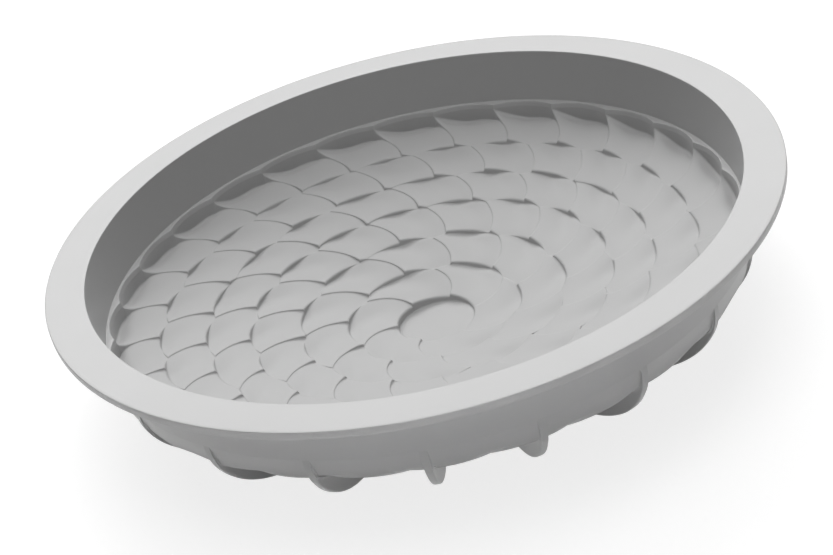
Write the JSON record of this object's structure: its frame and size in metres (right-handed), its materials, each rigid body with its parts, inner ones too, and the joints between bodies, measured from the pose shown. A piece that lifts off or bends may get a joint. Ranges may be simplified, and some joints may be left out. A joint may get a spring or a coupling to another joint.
{
  "type": "silicone cake mould",
  "caption": "Round flexible baking mould with a flat rim, a drafted side wall, a dished floor of overlapping scale relief and radial fins underneath that serve as feet.",
  "frame": {"origin": "on the mould's axis, in the plane that the fins' flat feet stand on", "axes": "+Z along the axis towards the open mouth; -Y is the side that faces the viewer in the picture"},
  "size_m": [0.202, 0.202, 0.0415],
  "materials": {
    "silicone": "matte light grey moulded silicone"
  },
  "bodies": {
    "root": {"rim_flange": "silicone", "side_wall": "silicone", "scale_ledge": "silicone", "scale_ring_a": "silicone", "scale_ring_b": "silicone", "scale_ring_c": "silicone", "scale_ring_d": "silicone", "scale_ring_e": "silicone", "scale_ring_f": "silicone", "scale_centre": "silicone", "foot_fin_01": "silicone", "foot_fin_02": "silicone", "foot_fin_03": "silicone", "foot_fin_04": "silicone", "foot_fin_05": "silicone", "foot_fin_06": "silicone", "foot_fin_07": "silicone", "foot_fin_08": "silicone", "foot_fin_09": "silicone", "foot_fin_10": "silicone", "foot_fin_11": "silicone", "foot_fin_12": "silicone", "foot_fin_13": "silicone", "foot_fin_14": "silicone", "foot_fin_15": "silicone", "foot_fin_16": "silicone", "foot_fin_17": "silicone", "foot_fin_18": "silicone", "foot_fin_19": "silicone", "foot_fin_20": "silicone"}
  },
  "joints": []
}
